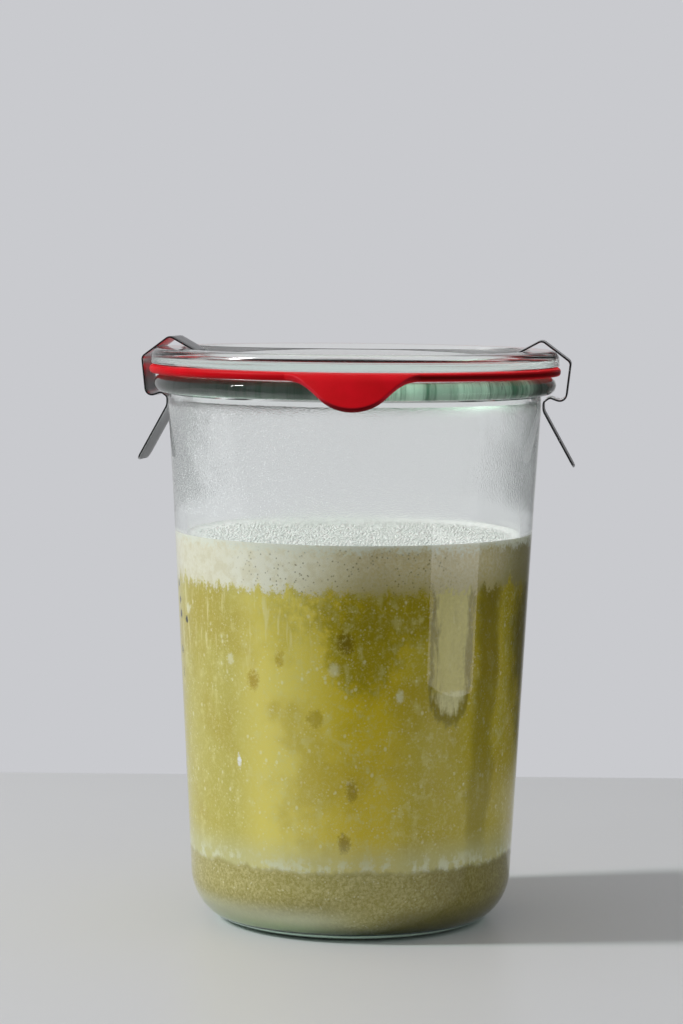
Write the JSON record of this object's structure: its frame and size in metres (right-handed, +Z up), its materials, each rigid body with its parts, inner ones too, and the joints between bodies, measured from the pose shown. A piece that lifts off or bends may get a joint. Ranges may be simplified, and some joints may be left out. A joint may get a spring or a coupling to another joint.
{
  "type": "preserving jar",
  "caption": "Round tapered glass preserving jar with a glass lid on a red rubber ring with a pull tab, held by spring strip clips, filled with green juice under foam.",
  "frame": {"origin": "on the jar's axis at the level of the table that it stands on, 0.8 mm below the flat centre of its pushed-up base", "axes": "+Z up along the jar's axis, -Y towards the pull tab and the picture's camera, +X to the picture's right"},
  "size_m": [0.1157, 0.1154, 0.1533],
  "materials": {
    "jar_glass": "clear pressed glass with a faint green edge",
    "lid_glass": "clear pressed glass with a faint green edge",
    "red_rubber": "satin red natural rubber",
    "spring_steel": "rolled stainless spring strip",
    "green_juice": "cloudy olive green juice",
    "juice_foam": "cream foam with fine bubbles",
    "sediment": "settled olive pulp"
  },
  "bodies": {
    "jar": {"glass_jar": "jar_glass", "green_juice": "green_juice", "juice_foam": "juice_foam", "pulp_sediment": "sediment"},
    "ring": {"rubber_ring": "red_rubber"},
    "lid": {"glass_lid": "lid_glass"},
    "clip_left": {"clip_left": "spring_steel"},
    "clip_right": {"clip_right": "spring_steel"}
  },
  "joints": [
    {"name": "ring_lift", "type": "slide", "parent": "jar", "child": "ring", "axis": [0, 0, 1], "range_m": [0, 0.05], "deforming": ["clip_left", "clip_right"]},
    {"name": "lid_lift", "type": "slide", "parent": "ring", "child": "lid", "axis": [0, 0, 1], "range_m": [0, 0.1], "deforming": ["clip_left", "clip_right"]},
    {"name": "clip_left_swing", "type": "hinge", "parent": "lid", "child": "clip_left", "pos_m": [-0.04108, 0.00873, 0.14952], "axis": [0.2079, 0.9781, 0], "range_deg": [0, 110]},
    {"name": "clip_right_swing", "type": "hinge", "parent": "lid", "child": "clip_right", "pos_m": [0.04184, -0.00366, 0.14952], "axis": [-0.0872, -0.9962, 0], "range_deg": [0, 110]}
  ]
}
